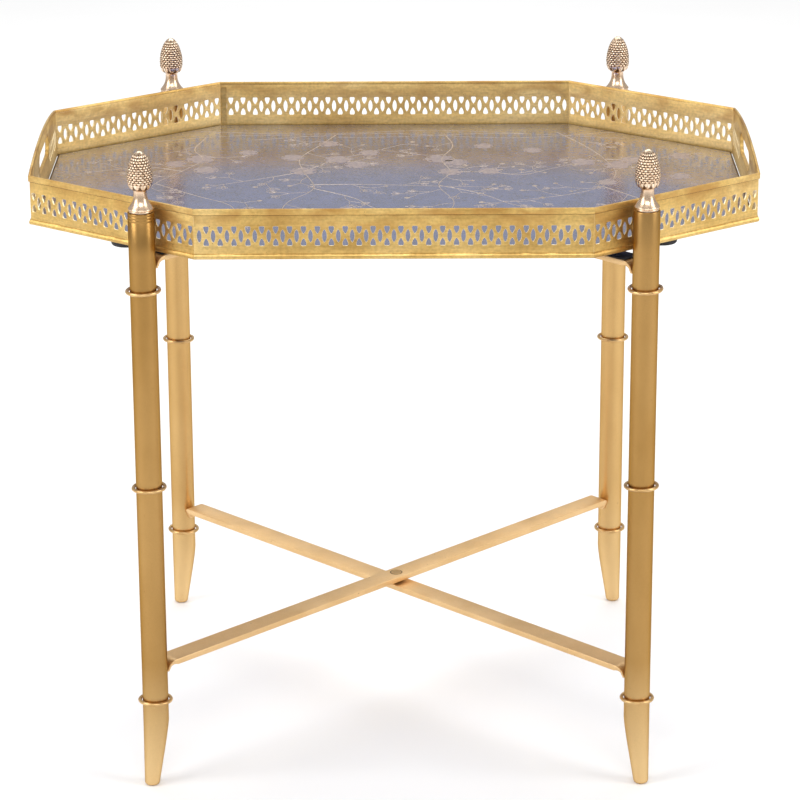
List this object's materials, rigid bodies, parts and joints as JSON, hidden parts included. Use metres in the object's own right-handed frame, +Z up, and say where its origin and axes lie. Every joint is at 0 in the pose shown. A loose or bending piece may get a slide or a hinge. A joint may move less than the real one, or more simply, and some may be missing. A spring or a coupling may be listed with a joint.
{
  "type": "folding tray table",
  "caption": "Folding brass tray table: bamboo-style tube legs with pine cone finials and crossed flat bars carry a lift-off octagonal lacquered tray with a pierced gallery.",
  "frame": {"origin": "on the floor, at the centre of the four feet", "axes": "+X to the right along the tray's length, +Y to the back, +Z up; the front is -Y"},
  "size_m": [0.6998, 0.4896, 0.6383],
  "materials": {
    "satin_gold": "satin gold-coloured tube and bar",
    "polished_brass": "polished wire and rivet heads",
    "antique_bronze": "cast, antiqued in the recesses and polished on the high points",
    "gallery_brass": "brushed and aged sheet",
    "navy_lacquer": "glossy lacquer with a fine leathery texture and thin gold lines",
    "black_rubber": "matte"
  },
  "bodies": {
    "frame_a": {"bar_a_lower": "satin_gold", "bar_a_upper": "satin_gold", "bar_strip_front_left": "black_rubber", "bar_strip_rear_right": "black_rubber", "finial_front_left": "antique_bronze", "finial_rear_right": "antique_bronze", "leg_front_left": "satin_gold", "leg_plug_front_left": "satin_gold", "leg_plug_rear_right": "satin_gold", "leg_rear_right": "satin_gold", "pivot_rivet_lower": "polished_brass", "pivot_rivet_upper": "polished_brass", "pivot_washer_lower": "satin_gold", "pivot_washer_upper": "satin_gold", "ring_front_left_lower": "polished_brass", "ring_front_left_middle": "polished_brass", "ring_front_left_upper": "polished_brass", "ring_rear_right_lower": "polished_brass", "ring_rear_right_middle": "polished_brass", "ring_rear_right_upper": "polished_brass", "tab_rivet_front_left_lower": "satin_gold", "tab_rivet_front_left_upper": "satin_gold", "tab_rivet_rear_right_lower": "satin_gold", "tab_rivet_rear_right_upper": "satin_gold"},
    "frame_b": {"bar_b_lower": "satin_gold", "bar_b_upper": "satin_gold", "bar_strip_front_right": "black_rubber", "bar_strip_rear_left": "black_rubber", "finial_front_right": "antique_bronze", "finial_rear_left": "antique_bronze", "leg_front_right": "satin_gold", "leg_plug_front_right": "satin_gold", "leg_plug_rear_left": "satin_gold", "leg_rear_left": "satin_gold", "ring_front_right_lower": "polished_brass", "ring_front_right_middle": "polished_brass", "ring_front_right_upper": "polished_brass", "ring_rear_left_lower": "polished_brass", "ring_rear_left_middle": "polished_brass", "ring_rear_left_upper": "polished_brass", "tab_rivet_front_right_lower": "satin_gold", "tab_rivet_front_right_upper": "satin_gold", "tab_rivet_rear_left_lower": "satin_gold", "tab_rivet_rear_left_upper": "satin_gold"},
    "tray": {"gallery_front": "gallery_brass", "gallery_front_left": "gallery_brass", "gallery_front_right": "gallery_brass", "gallery_left_end": "gallery_brass", "gallery_rear": "gallery_brass", "gallery_rear_left": "gallery_brass", "gallery_rear_right": "gallery_brass", "gallery_right_end": "gallery_brass", "tray_floor": "navy_lacquer", "tray_foot_front_left": "black_rubber", "tray_foot_front_right": "black_rubber", "tray_foot_rear_left": "black_rubber", "tray_foot_rear_right": "black_rubber"}
  },
  "joints": [
    {"name": "stand_fold", "type": "hinge", "parent": "frame_a", "child": "frame_b", "pos_m": [0, 0, 0], "axis": [0, 0, -1], "range_deg": [0, 85]},
    {"name": "tray_lift", "type": "slide", "parent": "frame_a", "child": "tray", "axis": [0, 0, 1], "range_m": [0, 0.15]}
  ]
}
